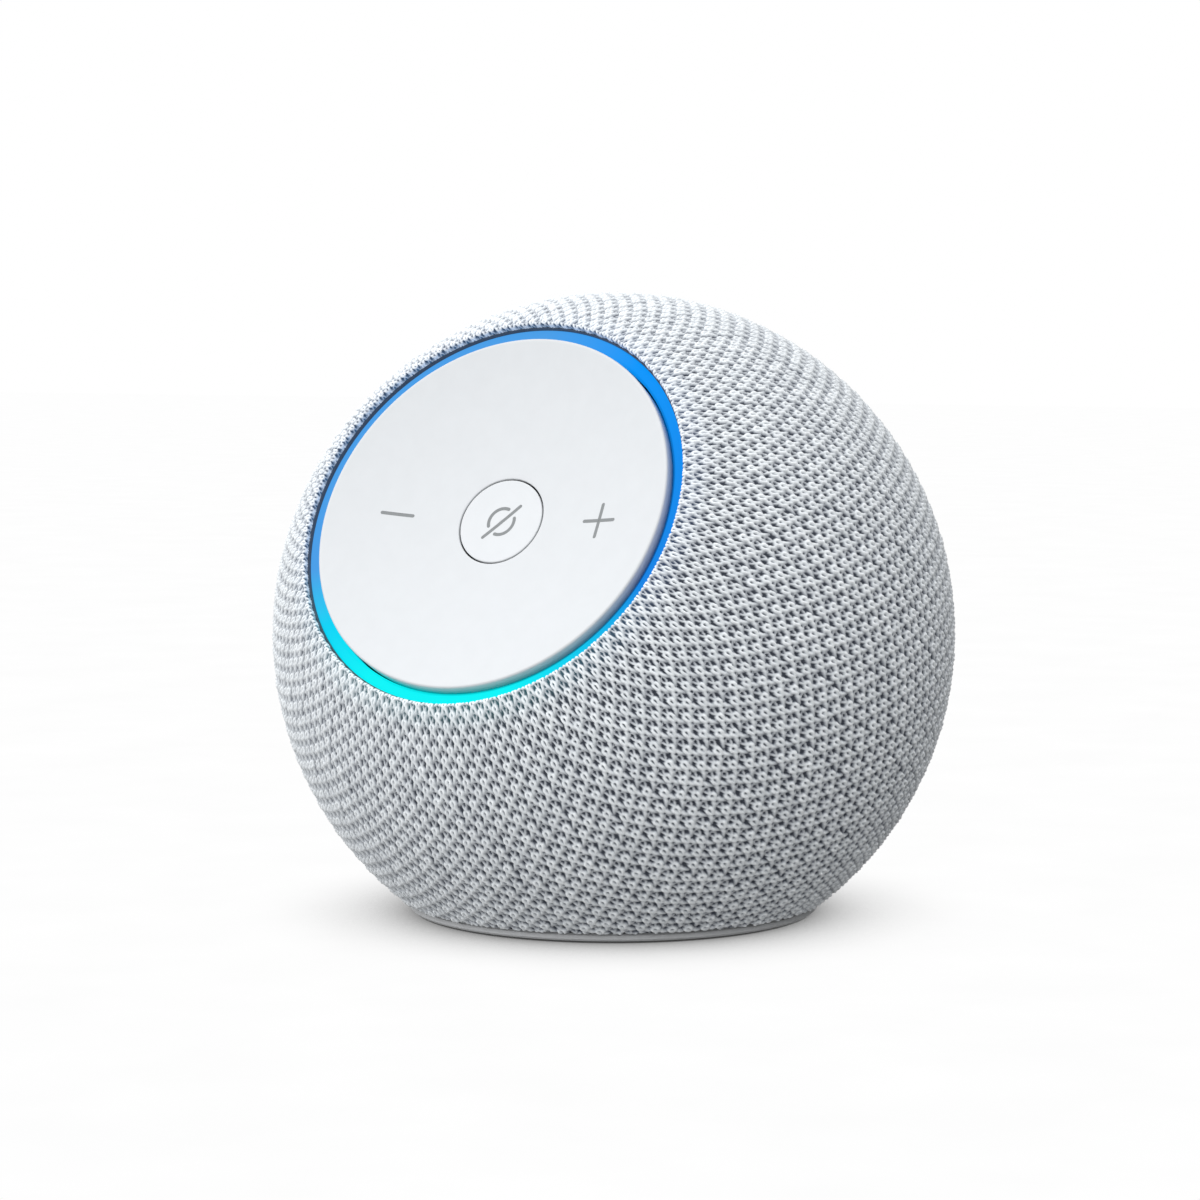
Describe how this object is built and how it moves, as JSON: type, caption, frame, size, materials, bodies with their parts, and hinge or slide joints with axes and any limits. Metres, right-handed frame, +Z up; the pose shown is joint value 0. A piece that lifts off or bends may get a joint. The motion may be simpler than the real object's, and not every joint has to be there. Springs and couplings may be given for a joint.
{
  "type": "smart speaker",
  "caption": "Ball-shaped smart speaker in a knitted cover, with a tilted dished control face, a light ring, a mute button and a rear power inlet.",
  "frame": {"origin": "centre of the footprint, on the surface the speaker stands on", "axes": "+Z up, -Y towards the front, where the control face looks forward and up; the power inlet is at the back, +Y"},
  "size_m": [0.1086, 0.1083, 0.0988],
  "materials": {
    "knit_fabric": "light grey 3D knit",
    "housing_plastic": "moulded, dark grey",
    "base_plastic": "moulded, light grey, satin",
    "foot_rubber": "soft, matt",
    "panel_plastic": "fine satin, near white",
    "button_plastic": "fine satin, near white",
    "ring_diffuser": "translucent, lit blue",
    "film": "amber polyimide film",
    "black_plastic": "moulded, black",
    "bracket_plastic": "glass-filled, grey",
    "steel": "zinc plated",
    "circuit_board": "green solder mask",
    "led_lens": "clear lens over phosphor",
    "foam": "closed-cell foam",
    "contact_brass": "nickel and gold plated",
    "cone_paper": "pressed paper",
    "surround_rubber": "butyl rubber",
    "spider_cloth": "treated cotton",
    "coil_copper": "enamelled copper",
    "ferrite": "sintered ferrite",
    "magnet_steel": "plated",
    "dome_silk": "coated silk",
    "wire_black": "insulated lead",
    "wire_red": "insulated lead",
    "wire_blue": "insulated lead",
    "chip_resin": "moulded resin",
    "connector_nylon": "natural nylon",
    "thermal_gel": "silicone pad",
    "aluminium": "extruded",
    "antenna_board": "printed antenna"
  },
  "bodies": {
    "root": {"fabric_cover": "knit_fabric", "upper_housing": "housing_plastic", "lower_housing": "housing_plastic", "bottom_cover": "base_plastic", "rubber_foot": "foot_rubber", "base_screws": "steel", "front_panel": "panel_plastic", "light_ring": "ring_diffuser", "touch_film": "film", "switch_body": "black_plastic", "ring_leds": "led_lens", "control_board": "circuit_board", "face_bracket": "bracket_plastic", "bracket_screws": "steel", "face_flex": "film", "microphones": "contact_brass", "mic_gaskets": "foam", "inlet_bezel": "base_plastic", "dc_jack": "black_plastic", "dc_jack_pin": "contact_brass", "power_board": "circuit_board", "power_lead": "wire_black", "acoustic_reflector": "black_plastic", "woofer_basket": "black_plastic", "woofer_gasket": "foam", "woofer_screws": "steel", "woofer_surround": "surround_rubber", "woofer_spider": "spider_cloth", "woofer_top_plate": "magnet_steel", "woofer_magnet": "ferrite", "woofer_yoke": "magnet_steel", "woofer_leads": "wire_red", "tweeter_waveguide": "black_plastic", "tweeter_frame": "black_plastic", "tweeter_magnet": "magnet_steel", "tweeter_yoke": "magnet_steel", "tweeter_leads": "wire_blue", "electronics_tray": "bracket_plastic", "tray_screws": "steel", "main_board": "circuit_board", "board_screws": "steel", "board_chips": "chip_resin", "board_connectors": "connector_nylon", "shield_can": "magnet_steel", "thermal_pad": "thermal_gel", "heat_sink": "aluminium", "antennas": "antenna_board"},
    "mute_button": {"mute_button": "button_plastic", "switch_plunger": "steel"},
    "woofer_cone": {"woofer_cone": "cone_paper", "woofer_dust_cap": "cone_paper", "woofer_voice_coil": "coil_copper"},
    "tweeter_dome": {"tweeter_dome": "dome_silk", "tweeter_coil": "coil_copper"}
  },
  "joints": [
    {"name": "mute_press", "type": "slide", "parent": "root", "child": "mute_button", "axis": [0, 0.866, -0.5], "range_m": [0, 0.0003], "stiffness_N_per_m": 800},
    {"name": "cone_stroke", "type": "slide", "parent": "root", "child": "woofer_cone", "axis": [0, 0, -1], "range_m": [-0.0025, 0.0025], "stiffness_N_per_m": 1500, "deforming": ["woofer_surround", "woofer_spider"]},
    {"name": "dome_stroke", "type": "slide", "parent": "root", "child": "tweeter_dome", "axis": [0, -0.8192, -0.5736], "range_m": [-0.00025, 0.00025], "stiffness_N_per_m": 1500}
  ]
}
